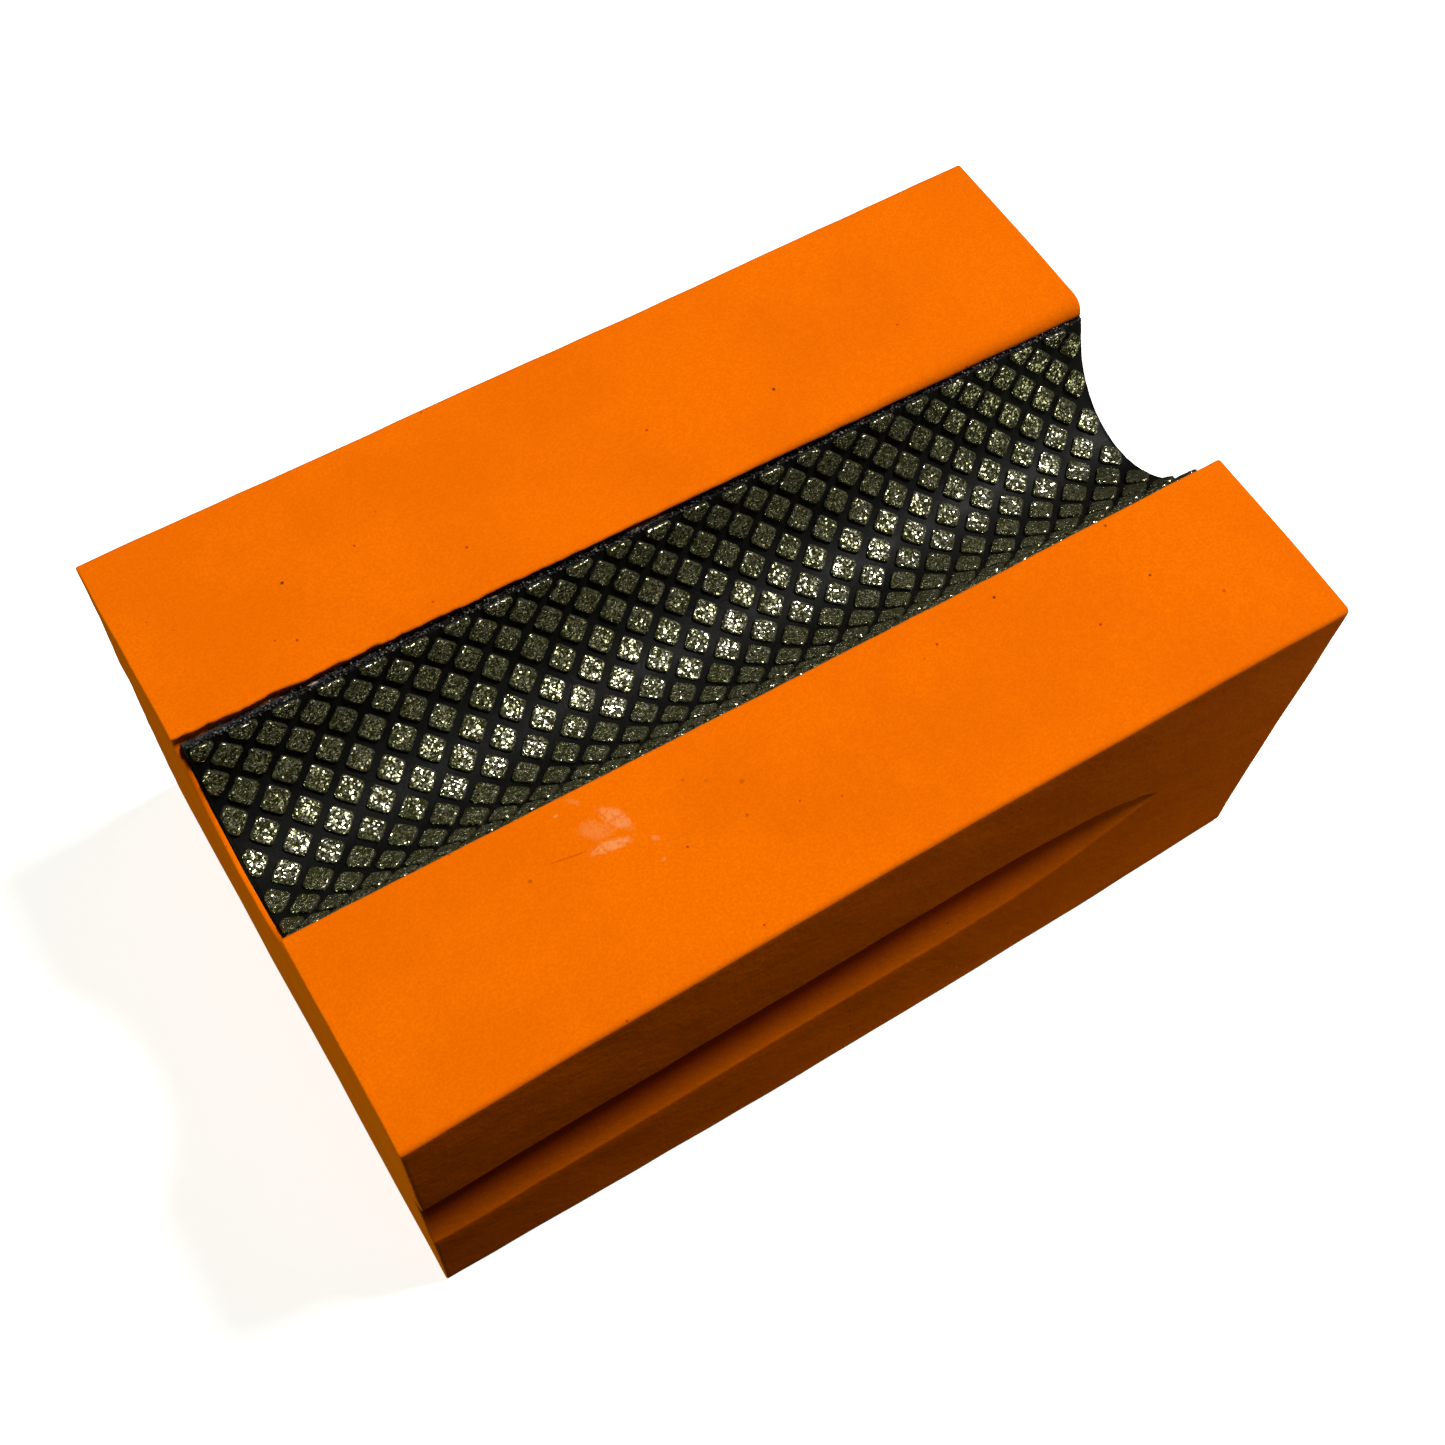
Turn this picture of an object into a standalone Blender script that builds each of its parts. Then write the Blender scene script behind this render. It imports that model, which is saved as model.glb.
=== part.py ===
"""Full-bullnose diamond hand pad: an EVA foam block with a diamond abrasive sheet glued in its channel.

Frame: +X along the block and its channel, +Y from the front long side to the back one, +Z up, with
the channel's mouth at the top. The origin is the middle of the flat base. Units are metres.

The pieces, from the outside in, are the foam block, the contact adhesive, the black fleece that backs
the abrasive, the flexible carrier sheet, and the diamond dots that do the cutting.
"""

import math

import bmesh
import bpy
from mathutils import Vector
from mathutils.geometry import delaunay_2d_cdt

MM = 0.001

# Foam block
BLOCK_LENGTH = 90.0 * MM
BLOCK_WIDTH = 57.4 * MM
BLOCK_HEIGHT = 41.7 * MM
EDGE_RADIUS = 0.9 * MM
EDGE_STEPS = 3

# Channel for a 20 mm thick stone edge with a full bullnose
WORKING_RADIUS = 10.0 * MM
CHANNEL_Y = -0.6 * MM
CHANNEL_AXIS_Z = 41.5 * MM
LIP_HALF_WIDTH = 10.2 * MM
LIP_THICKNESS = 1.0 * MM
ARC_STEPS = 32

# Layers of the glued-in sheet, each separated from the next by a modelling gap
LAYER_GAP = 0.05 * MM
DOT_HEIGHT = 0.35 * MM
BOND_FILM_THICKNESS = 0.10 * MM
CARRIER_THICKNESS = 0.30 * MM
FLEECE_THICKNESS = 0.40 * MM
ADHESIVE_THICKNESS = 0.10 * MM

# Outline of the sheet: its cut edges stop short of the foam lips and of the block's ends
SHEET_TO_LIP_GAP = 0.3 * MM
SHEET_LEFT_X = -44.6 * MM
SHEET_RIGHT_X = 44.8 * MM
ADHESIVE_INSET = 0.6 * MM

# Diamond dots: squares turned 45 degrees, on a square lattice turned the same way
DOT_SIDE = 2.0 * MM
DOT_PITCH_X = 3.88 * MM
DOT_ROW_SPACING = DOT_PITCH_X / 2
FIRST_DOT_X = -43.4 * MM
FIRST_ROW_FROM_EDGE = 0.6 * MM
DOT_EDGE_MARGIN = 0.3 * MM
SMALLEST_CUT_DOT = 0.5 * MM
MERGE_TOLERANCE = 0.0001

# Finger grooves: undercut under a sharp upper lip, sloping out gently below it, and running out
# near the right end
GROOVE_TOP_Z = 25.6 * MM
GROOVE_DEEPEST_Z = 23.8 * MM
GROOVE_BOTTOM_Z = 14.2 * MM
GROOVE_DEPTH = 1.8 * MM
GROOVE_DEEPEST_X = -18.0 * MM
GROOVE_HALF_LENGTH = 48.3 * MM
RUNOUT_POWER = 5
RUNOUT_DROP = 2.7 * MM
GROOVE_STATIONS = 36
UNDERCUT_STEPS = 3
FLOOR_STEPS = 5
FLOOR_ROUNDNESS = 0.75
CUTTER_OVERHANG = 6.0 * MM
CUTTER_OVERRUN = 1.5 * MM


def clear_scene():
    for old in list(bpy.data.objects):
        bpy.data.objects.remove(old, do_unlink=True)


def principled(name, color, roughness, metallic=0.0):
    """A material with one Principled BSDF."""
    material = bpy.data.materials.new(name)
    material.use_nodes = True
    shader = material.node_tree.nodes["Principled BSDF"]
    shader.inputs["Base Color"].default_value = (*color, 1.0)
    shader.inputs["Roughness"].default_value = roughness
    shader.inputs["Metallic"].default_value = metallic
    return material


def add_object(name, bm, material=None):
    """Turn a bmesh into a named object with smooth round faces and sharp edges."""
    bmesh.ops.recalc_face_normals(bm, faces=bm.faces[:])
    mesh = bpy.data.meshes.new(name)
    bm.to_mesh(mesh)
    bm.free()
    mesh.shade_smooth()
    mesh.set_sharp_from_angle(angle=math.radians(30))
    piece = bpy.data.objects.new(name, mesh)
    bpy.context.scene.collection.objects.link(piece)
    if material is not None:
        mesh.materials.append(material)
    return piece


def extruded_profile(profile, x_low, x_high):
    """A closed prism along X over a closed (y, z) outline."""
    bm = bmesh.new()
    outline = [bm.verts.new((x_low, y, z)) for y, z in profile]
    cap = bm.faces.new(outline)
    grown = bmesh.ops.extrude_face_region(bm, geom=[cap])
    moved = [item for item in grown["geom"] if isinstance(item, bmesh.types.BMVert)]
    bmesh.ops.translate(bm, verts=moved, vec=Vector((x_high - x_low, 0, 0)))
    return bm


def arc(centre_y, centre_z, radius, start, end, steps):
    """Points on an arc in the YZ plane; angles are in radians from +Y towards +Z."""
    points = []
    for step in range(steps + 1):
        angle = start + (end - start) * step / steps
        points.append((centre_y + radius * math.cos(angle), centre_z + radius * math.sin(angle)))
    return points


def channel_point(radius, angle, x):
    """A point at an angle below the channel's axis, from the back rim (0) to the front rim (pi)."""
    return Vector((x, CHANNEL_Y + radius * math.cos(angle), CHANNEL_AXIS_Z - radius * math.sin(angle)))


# Radii of the layers, from the dots' tops outward to the foam
film_inner = WORKING_RADIUS + DOT_HEIGHT
film_outer = film_inner + BOND_FILM_THICKNESS
carrier_inner = film_outer + LAYER_GAP
carrier_outer = carrier_inner + CARRIER_THICKNESS
fleece_inner = carrier_outer + LAYER_GAP
fleece_outer = fleece_inner + FLEECE_THICKNESS
adhesive_inner = fleece_outer + LAYER_GAP
adhesive_outer = adhesive_inner + ADHESIVE_THICKNESS
seat_radius = adhesive_outer + LAYER_GAP

# The sheet's cut edges lie just under the lips
lip_underside_z = BLOCK_HEIGHT - LIP_THICKNESS
sheet_edge_z = lip_underside_z - SHEET_TO_LIP_GAP
sheet_edge_angle = math.asin((CHANNEL_AXIS_Z - sheet_edge_z) / WORKING_RADIUS)
sheet_width = WORKING_RADIUS * (math.pi - 2 * sheet_edge_angle)
dot_rows = int((sheet_width - FIRST_ROW_FROM_EDGE) / DOT_ROW_SPACING) + 1
row_lines = [FIRST_ROW_FROM_EDGE + row * DOT_ROW_SPACING for row in range(dot_rows)]


def foam_profile():
    """The block's (y, z) section: rounded corners, two lips, and the round seat of the sheet."""
    half = BLOCK_WIDTH / 2
    inner = half - EDGE_RADIUS
    low = EDGE_RADIUS
    high = BLOCK_HEIGHT - EDGE_RADIUS
    quarter = math.pi / 2
    seat_angle = math.asin((CHANNEL_AXIS_Z - lip_underside_z) / seat_radius)
    points = arc(-inner, low, EDGE_RADIUS, 2 * quarter, 3 * quarter, EDGE_STEPS)
    points += arc(inner, low, EDGE_RADIUS, -quarter, 0, EDGE_STEPS)
    points += arc(inner, high, EDGE_RADIUS, 0, quarter, EDGE_STEPS)
    points.append((CHANNEL_Y + LIP_HALF_WIDTH, BLOCK_HEIGHT))
    points.append((CHANNEL_Y + LIP_HALF_WIDTH, lip_underside_z))
    points += arc(CHANNEL_Y, CHANNEL_AXIS_Z, seat_radius, -seat_angle, seat_angle - math.pi, ARC_STEPS)
    points.append((CHANNEL_Y - LIP_HALF_WIDTH, lip_underside_z))
    points.append((CHANNEL_Y - LIP_HALF_WIDTH, BLOCK_HEIGHT))
    points += arc(-inner, high, EDGE_RADIUS, quarter, 2 * quarter, EDGE_STEPS)
    return points


def groove_runout(x):
    """Share of the cutter's depth that is drawn back out of the side: 1 where the groove ends."""
    along = (x - GROOVE_DEEPEST_X) / GROOVE_HALF_LENGTH
    return abs(along) ** RUNOUT_POWER


def groove_section():
    """The cutter's (depth, z) outline, from its upper lip down to the lower edge and round outside."""
    points = []
    for step in range(UNDERCUT_STEPS + 1):
        above = 1 - step / UNDERCUT_STEPS
        z = GROOVE_DEEPEST_Z + (GROOVE_TOP_Z - GROOVE_DEEPEST_Z) * above
        points.append((GROOVE_DEPTH * (1 - above * above), z))
    for step in range(1, FLOOR_STEPS + 1):
        above = 1 - step / FLOOR_STEPS
        z = GROOVE_BOTTOM_Z + (GROOVE_DEEPEST_Z - GROOVE_BOTTOM_Z) * above
        points.append((GROOVE_DEPTH * above ** FLOOR_ROUNDNESS, z))
    points.append((-CUTTER_OVERHANG, GROOVE_BOTTOM_Z))
    points.append((-CUTTER_OVERHANG, GROOVE_TOP_Z))
    return points


def groove_cutter(name, side):
    """The space swept by the cutter on one long side (-1 front, +1 back)."""
    start = -BLOCK_LENGTH / 2 - CUTTER_OVERRUN
    end = GROOVE_DEEPEST_X + GROOVE_HALF_LENGTH + CUTTER_OVERRUN
    section = groove_section()
    corners = len(section)
    bm = bmesh.new()
    rings = []
    for station in range(GROOVE_STATIONS + 1):
        x = start + (end - start) * station / GROOVE_STATIONS
        drawn_out = groove_runout(x)
        ring = []
        for depth, z in section:
            y = side * (BLOCK_WIDTH / 2 - depth + GROOVE_DEPTH * drawn_out)
            ring.append(bm.verts.new((x, y, z - RUNOUT_DROP * drawn_out ** 2)))
        rings.append(ring)
    for first, second in zip(rings, rings[1:]):
        for corner in range(corners):
            after = (corner + 1) % corners
            bm.faces.new((first[corner], first[after], second[after], second[corner]))
    bm.faces.new(rings[0])
    bm.faces.new(rings[-1])
    cutter = add_object(name, bm)
    cutter.hide_render = True
    cutter.display_type = "WIRE"
    return cutter


def build_foam_block():
    """Orange EVA block with its channel and a finger groove along each long side."""
    material = principled("eva_foam_orange", (0.90, 0.20, 0.0), 0.85)
    bm = extruded_profile(foam_profile(), -BLOCK_LENGTH / 2, BLOCK_LENGTH / 2)
    block = add_object("foam_block", bm, material)
    for name, side in (("cutter_groove_front", -1), ("cutter_groove_back", 1)):
        groove = block.modifiers.new(name, "BOOLEAN")
        groove.operation = "DIFFERENCE"
        groove.solver = "EXACT"
        groove.object = groove_cutter(name, side)
    return block


def curved_plate(name, inner, outer, x_low, x_high, edge_inset, material):
    """One plain layer of the sheet: a curved plate between two radii, bent along the dot rows."""
    bends = [edge_inset]
    bends += [along for along in row_lines if edge_inset < along < sheet_width - edge_inset]
    bends.append(sheet_width - edge_inset)
    angles = [sheet_edge_angle + along / WORKING_RADIUS for along in bends]
    profile = [channel_point(inner, angle, 0).yz for angle in angles]
    profile += [channel_point(outer, angle, 0).yz for angle in reversed(angles)]
    return add_object(name, extruded_profile(profile, x_low, x_high), material)


def clip(outline, axis, limit, keep_above):
    """Cut a convex flat outline along a line of constant x (axis 0) or arc length (axis 1)."""
    kept = []
    for here, there in zip(outline, outline[1:] + outline[:1]):
        here_inside = (here[axis] >= limit) == keep_above
        there_inside = (there[axis] >= limit) == keep_above
        if here_inside:
            kept.append(here)
        if here_inside != there_inside:
            share = (limit - here[axis]) / (there[axis] - here[axis])
            kept.append(tuple(a + (b - a) * share for a, b in zip(here, there)))
    return kept


def dot_outlines():
    """Flat (x, arc length) outlines of the dots, cut off straight at the sheet's edges."""
    half_diagonal = DOT_SIDE / math.sqrt(2)
    limits = (
        (0, SHEET_LEFT_X + DOT_EDGE_MARGIN, True),
        (0, SHEET_RIGHT_X - DOT_EDGE_MARGIN, False),
        (1, DOT_EDGE_MARGIN, True),
        (1, sheet_width - DOT_EDGE_MARGIN, False),
    )
    columns = int((SHEET_RIGHT_X - SHEET_LEFT_X) / DOT_PITCH_X) + 2
    outlines = []
    for row in range(dot_rows):
        arc_length = FIRST_ROW_FROM_EDGE + row * DOT_ROW_SPACING
        for column in range(columns):
            x = FIRST_DOT_X + (column - 0.5 * (row % 2)) * DOT_PITCH_X
            outline = [
                (x - half_diagonal, arc_length),
                (x, arc_length - half_diagonal),
                (x + half_diagonal, arc_length),
                (x, arc_length + half_diagonal),
            ]
            for axis, limit, keep_above in limits:
                outline = clip(outline, axis, limit, keep_above)
            if not outline:
                continue
            spans = [max(p[axis] for p in outline) - min(p[axis] for p in outline) for axis in (0, 1)]
            if min(spans) > SMALLEST_CUT_DOT:
                outlines.append(outline)
    return outlines


def flat_mesh_of_dots():
    """Triangulate the flat sheet around its dots and along its rows.

    Returns the (x, arc length) points, the triangles, and for each triangle whether a dot covers it.
    """
    points = []
    outline_faces = []
    for outline in dot_outlines():
        outline_faces.append(list(range(len(points), len(points) + len(outline))))
        points += outline
    rim = [(x, along) for x in (SHEET_LEFT_X, SHEET_RIGHT_X) for along in (0, sheet_width)]
    points += rim
    creases = []
    for along in row_lines:
        creases.append((len(points), len(points) + 1))
        points += [(SHEET_LEFT_X, along), (SHEET_RIGHT_X, along)]
    scaled = [Vector(point) / MM for point in points]
    triangulated = delaunay_2d_cdt(scaled, creases, outline_faces, 0, MERGE_TOLERANCE, True)
    flat_points = [point * MM for point in triangulated[0]]
    covered = [bool(sources) for sources in triangulated[5]]
    return flat_points, triangulated[2], covered


def dots_bmesh():
    """The bond film with every dot standing on it, made flat and then rolled into the channel.

    While flat, a point is (x, arc length, radius).
    """
    flat_points, triangles, covered = flat_mesh_of_dots()
    bm = bmesh.new()
    on_film = {}
    on_top = {}
    dot_edges = {}
    for triangle, is_dot in zip(triangles, covered):
        level, verts = (WORKING_RADIUS, on_top) if is_dot else (film_inner, on_film)
        for index in triangle:
            if index not in verts:
                verts[index] = bm.verts.new((*flat_points[index], level))
        bm.faces.new([verts[index] for index in triangle])
        for pair in zip(triangle, triangle[1:] + triangle[:1]):
            key = frozenset(pair)
            dot_edges.setdefault(key, set()).add(is_dot)
    for key, sides in dot_edges.items():
        if len(sides) == 2:
            first, second = sorted(key)
            bm.faces.new((on_film[first], on_film[second], on_top[second], on_top[first]))
    rim = [edge for edge in bm.edges if edge.is_boundary]
    grown = bmesh.ops.extrude_edge_only(bm, edges=rim)
    back = [item for item in grown["geom"] if isinstance(item, bmesh.types.BMVert)]
    for vert in back:
        vert.co.z = film_outer
    left = sorted((vert for vert in back if vert.co.x < 0), key=lambda vert: vert.co.y)
    right = sorted((vert for vert in back if vert.co.x > 0), key=lambda vert: vert.co.y)
    for low in range(len(left) - 1):
        bm.faces.new((left[low], right[low], right[low + 1], left[low + 1]))
    bmesh.ops.triangulate(bm, faces=[face for face in bm.faces if len(face.verts) > 3])
    for vert in bm.verts:
        x, along, radius = vert.co
        vert.co = channel_point(radius, sheet_edge_angle + along / WORKING_RADIUS, x)
    return bm


def build_sheet():
    """Adhesive, fleece, carrier and dots, from the foam inward."""
    adhesive = principled("contact_adhesive", (0.35, 0.28, 0.16), 0.25)
    fleece = principled("black_fleece", (0.012, 0.012, 0.014), 0.95)
    carrier = principled("black_carrier_resin", (0.010, 0.010, 0.011), 0.45)
    diamond = principled("diamond_dots_olive", (0.10, 0.10, 0.045), 0.40, 0.6)
    curved_plate("adhesive_film", adhesive_inner, adhesive_outer, SHEET_LEFT_X + ADHESIVE_INSET,
                 SHEET_RIGHT_X - ADHESIVE_INSET, ADHESIVE_INSET, adhesive)
    curved_plate("fleece_backing", fleece_inner, fleece_outer, SHEET_LEFT_X, SHEET_RIGHT_X, 0, fleece)
    curved_plate("carrier_sheet", carrier_inner, carrier_outer, SHEET_LEFT_X, SHEET_RIGHT_X, 0, carrier)
    add_object("diamond_dots", dots_bmesh(), diamond)


clear_scene()
build_foam_block()
build_sheet()
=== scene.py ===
"""Looks of the full-bullnose diamond hand pad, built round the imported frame.

Lengths inside the modelling functions are in millimetres, in the frame's own axes: X along the block,
Y from the front long side to the back one, Z up from the flat base.
"""

import math
import random

import bmesh
import bpy
import numpy as np
from mathutils import Matrix, Vector, noise
from mathutils.geometry import delaunay_2d_cdt


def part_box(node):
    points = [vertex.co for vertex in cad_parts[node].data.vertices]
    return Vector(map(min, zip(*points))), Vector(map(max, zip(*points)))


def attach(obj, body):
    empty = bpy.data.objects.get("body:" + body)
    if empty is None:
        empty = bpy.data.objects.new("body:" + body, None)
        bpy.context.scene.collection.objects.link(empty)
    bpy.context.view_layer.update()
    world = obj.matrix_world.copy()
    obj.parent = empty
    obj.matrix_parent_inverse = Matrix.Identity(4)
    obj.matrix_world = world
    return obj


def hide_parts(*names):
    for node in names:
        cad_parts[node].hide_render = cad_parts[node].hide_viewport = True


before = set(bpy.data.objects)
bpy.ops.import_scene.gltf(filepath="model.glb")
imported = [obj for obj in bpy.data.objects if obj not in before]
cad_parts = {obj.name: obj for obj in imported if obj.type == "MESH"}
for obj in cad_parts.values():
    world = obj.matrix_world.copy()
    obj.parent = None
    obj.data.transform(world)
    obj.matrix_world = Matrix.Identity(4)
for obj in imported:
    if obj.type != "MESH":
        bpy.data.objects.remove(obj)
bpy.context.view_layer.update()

MM = 0.001


def span_mm(node):
    """Lowest and highest corners of a CAD node, in millimetres."""
    low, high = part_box(node)
    return [c / MM for c in low], [c / MM for c in high]


# ---------------- sizes from the frame

block_low, block_high = span_mm("foam_block")
sheet_low, sheet_high = span_mm("carrier_sheet")
HALF_LENGTH = (block_high[0] - block_low[0]) / 2
HALF_WIDTH = (block_high[1] - block_low[1]) / 2
HEIGHT = block_high[2]

CHANNEL_Y = (sheet_low[1] + sheet_high[1]) / 2

# Layers of the pad, as depths below the tops of its dots
CARRIER_DEPTH = 0.35
FLEECE_DEPTH = 0.65
FLEECE_OUTER = 1.08
GLUE_OUTER = 1.13
SEAT_DEPTH = 1.17
SEAT_MARGIN = 0.08

# At the left end the sheet stops short, and a rim of bare foam shows beside it
RIM_X = -44.50
RIM_DEPTH = 0.45
RIM_STEP = 0.03

# The sheet is glued in slightly askew: turned about its middle, on the unrolled channel
SHEET_LENGTH = 89.6
SHEET_WIDTH = 28.7
SHEET_MID_X = 0.42
SHEET_SKEW = 0.0059
SHEET_BACK_EDGE = 0.85

# The channel's profile, from the back rim down and up to the front rim. It bends most at its middle
# and runs straight near the rims, where the sheet springs back. Headings are angles in radians, runs
# are distances along the profile, and the pairs of numbers differ between the left and right ends.
PROFILE_START = (9.24, 41.2)
START_SHIFT = -0.19
START_HEADING = 0.292
BEND = 0.1382
BEND_MIDDLE = 15.2
BEND_REACH = 14.66
OPENING = (0.018, -0.003)
LAST_HEADING = (2.62, 2.70)
HEADING_EASE = 0.12
PROFILE_STEP = 0.05
PROFILE_RUN = 33.0

DOT_PITCH = 3.885
DOT_SIDE = 2.10
DOT_CORNER = 0.34
DOT_ROW_STEP = DOT_PITCH / 2
FIRST_ROW = 0.50
FIRST_DOT = 0.92
DOT_BORDER = 0.24


# ---------------- small helpers

def smooth(low, high, value):
    """0 at low, 1 at high, and an easy curve between; low may be the larger of the two."""
    t = min(1.0, max(0.0, (value - low) / (high - low)))
    return t * t * (3 - 2 * t)


def curve_through(*points):
    """A smooth function through a few (x, value) points, parallel at each to the chord past it."""
    xs = [p[0] for p in points]
    ys = [p[1] for p in points]
    slopes = []
    for i in range(len(xs)):
        a = max(i - 1, 0)
        b = min(i + 1, len(xs) - 1)
        slopes.append((ys[b] - ys[a]) / (xs[b] - xs[a]))

    def at(x):
        x = min(max(x, xs[0]), xs[-1])
        i = 0
        while i < len(xs) - 2 and x > xs[i + 1]:
            i += 1
        span = xs[i + 1] - xs[i]
        t = (x - xs[i]) / span
        first = ys[i] * (1 + 2 * t) * (1 - t) ** 2 + slopes[i] * span * t * (1 - t) ** 2
        second = ys[i + 1] * (3 - 2 * t) * t * t + slopes[i + 1] * span * t * t * (t - 1)
        return first + second

    return at


def ripple(seed, x, y=0.0, z=0.0, size=10.0):
    """Smooth noise from -1 to 1 that changes over about size millimetres."""
    return noise.noise(Vector((x / size + seed * 17.3, y / size - seed * 5.1, z / size + seed * 9.7)))


def make_object(name, bm, material, smooth_shading=True):
    """A scene object in metres from a mesh in millimetres."""
    bmesh.ops.recalc_face_normals(bm, faces=bm.faces[:])
    bmesh.ops.scale(bm, vec=(MM, MM, MM), verts=bm.verts[:])
    mesh = bpy.data.meshes.new(name)
    bm.to_mesh(mesh)
    bm.free()
    if smooth_shading:
        mesh.shade_smooth()
    mesh.materials.append(material)
    piece = bpy.data.objects.new(name, mesh)
    bpy.context.scene.collection.objects.link(piece)
    return piece


# ---------------- materials

class Nodes:
    """Short names for building a node material."""

    def __init__(self, name):
        self.material = bpy.data.materials.new(name)
        self.material.use_nodes = True
        self.tree = self.material.node_tree
        self.shader = self.tree.nodes["Principled BSDF"]

    def add(self, kind, **settings):
        node = self.tree.nodes.new(kind)
        for key, value in settings.items():
            setattr(node, key, value)
        return node

    def link(self, source, target):
        self.tree.links.new(source, target)

    def position(self):
        return self.add("ShaderNodeTexCoord").outputs["Object"]

    def noise(self, scale, detail=2.0, roughness=0.5, vector=None, distortion=0.0):
        node = self.add("ShaderNodeTexNoise")
        node.inputs["Scale"].default_value = scale
        node.inputs["Detail"].default_value = detail
        node.inputs["Roughness"].default_value = roughness
        node.inputs["Distortion"].default_value = distortion
        self.link(vector or self.position(), node.inputs["Vector"])
        return node

    def cells(self, scale, vector):
        """Random cells, scale of them to a metre."""
        node = self.add("ShaderNodeTexVoronoi")
        node.inputs["Scale"].default_value = scale
        self.link(vector, node.inputs["Vector"])
        return node

    def ramp(self, value, low, high, to_low=0.0, to_high=1.0, steps="SMOOTHSTEP"):
        """Turn the range from low to high into the range from to_low to to_high."""
        node = self.add("ShaderNodeMapRange", interpolation_type=steps)
        node.inputs["From Min"].default_value = low
        node.inputs["From Max"].default_value = high
        node.inputs["To Min"].default_value = to_low
        node.inputs["To Max"].default_value = to_high
        self.link(value, node.inputs["Value"])
        return node.outputs["Result"]

    def mix(self, factor, first, second):
        """The first colour where factor is 0, the second where it is 1."""
        node = self.add("ShaderNodeMix", data_type="RGBA")
        self.put(factor, node.inputs[0])
        self.put(first, node.inputs[6])
        self.put(second, node.inputs[7])
        return node.outputs[2]

    def put(self, value, socket):
        """Link another node's output to a socket, or set the socket's own value."""
        if isinstance(value, bpy.types.NodeSocket):
            self.link(value, socket)
        elif isinstance(value, (tuple, list)) and len(value) == 3 and len(socket.default_value) == 4:
            socket.default_value = (*value, 1.0)
        else:
            socket.default_value = value

    def math(self, operation, first, second=0.0):
        node = self.add("ShaderNodeMath", operation=operation)
        self.put(first, node.inputs[0])
        self.put(second, node.inputs[1])
        return node.outputs[0]

    def times(self, first, second):
        return self.math("MULTIPLY", first, second)

    def vector(self, operation, first, second):
        node = self.add("ShaderNodeVectorMath", operation=operation)
        self.put(first, node.inputs[0])
        self.put(second, node.inputs[1])
        return node.outputs[0]

    def split(self, color):
        """The red, green and blue of a colour, as three values."""
        node = self.add("ShaderNodeSeparateColor")
        self.link(color, node.inputs[0])
        return node.outputs

    def bump(self, height, distance, strength):
        node = self.add("ShaderNodeBump")
        node.inputs["Distance"].default_value = distance
        node.inputs["Strength"].default_value = strength
        self.link(height, node.inputs["Height"])
        return node.outputs["Normal"]

    def set(self, **sockets):
        """Fill the shader's inputs, named with an underscore for each space."""
        for name, value in sockets.items():
            self.put(value, self.shader.inputs[name.replace("_", " ")])


# Marks on the foam's top, in millimetres.
# Scuffs and the scratch are (x, y, half length, half width, turn in degrees, strength)
SCUFFS = [
    (-18.2, -13.5, 2.2, 1.1, -58, 0.42),
    (-19.6, -15.4, 2.5, 0.75, -9, 0.50),
    (-19.9, -13.6, 2.0, 1.3, -30, 0.20),
    (-22.1, -11.0, 0.35, 0.18, 0, 0.45),
    (-20.3, -10.6, 1.1, 0.35, -50, 0.16),
    (-16.3, -16.6, 0.55, 0.35, -40, 0.26),
    (-16.7, -18.5, 0.35, 0.22, 20, 0.30),
]
SCRATCH = (-22.9, -14.6, 2.2, 0.10, -10, 0.40)
# Dark spots are (x, y, radius, strength)
DARK_SPOTS = [
    (15.2, 15.4, 0.22, 0.85),
    (19.6, -12.2, 0.20, 0.85),
    (32.4, -17.2, 0.16, 0.85),
    (-31.0, 19.0, 0.22, 0.85),
    (-11.9, -13.4, 0.22, 0.25),
    (-10.3, -14.4, 0.26, 0.18),
    (-7.9, -15.9, 0.30, 0.28),
    (-9.1, -18.6, 0.24, 0.35),
    (-26.5, -14.8, 0.24, 0.40),
]


MARK_DEPTH = 2.0


def mark_mask(n, position, x, y, long, wide, degrees):
    """1 in the middle of a turned ellipse on the foam's top, easing to 0 at its border.

    The ellipse's sizes are in millimetres and its turn is in degrees, as in the lists above.
    """
    place = n.add("ShaderNodeMapping", vector_type="TEXTURE")
    place.inputs["Location"].default_value = (x * MM, y * MM, HEIGHT * MM)
    place.inputs["Rotation"].default_value = (0, 0, math.radians(degrees))
    place.inputs["Scale"].default_value = (long * MM, wide * MM, MARK_DEPTH * MM)
    n.link(position, place.inputs["Vector"])
    reach = n.add("ShaderNodeVectorMath", operation="LENGTH")
    n.link(place.outputs[0], reach.inputs[0])
    return n.ramp(reach.outputs["Value"], 0.35, 1.0, 1.0, 0.0)


def painted_groove_shade(n, position):
    """Where painted shade darkens the foam: 1 deep inside a finger groove, 0 on the plain sides and ends.
    """
    parts = n.add("ShaderNodeSeparateXYZ")
    n.link(position, parts.inputs[0])
    along = n.math("ABSOLUTE", parts.outputs[0])
    out = n.math("ABSOLUTE", parts.outputs[1])
    up = parts.outputs[2]
    # each limit is (what is measured, where it begins, where it is full), in millimetres
    limits = [
        (out, HALF_WIDTH - 0.2, HALF_WIDTH - 1.5),
        (out, HALF_WIDTH - 4.0, HALF_WIDTH - 3.5),
        (up, 12.5, 13.5),
        (up, 27.0, 26.0),
        (along, 44.7, 44.4),
    ]
    mask = 1.0
    for measured, none, full in limits:
        low = min(none, full) * MM
        high = max(none, full) * MM
        falls = none > full
        mask = n.times(mask, n.ramp(measured, low, high, float(falls), float(not falls)))
    return mask


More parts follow.
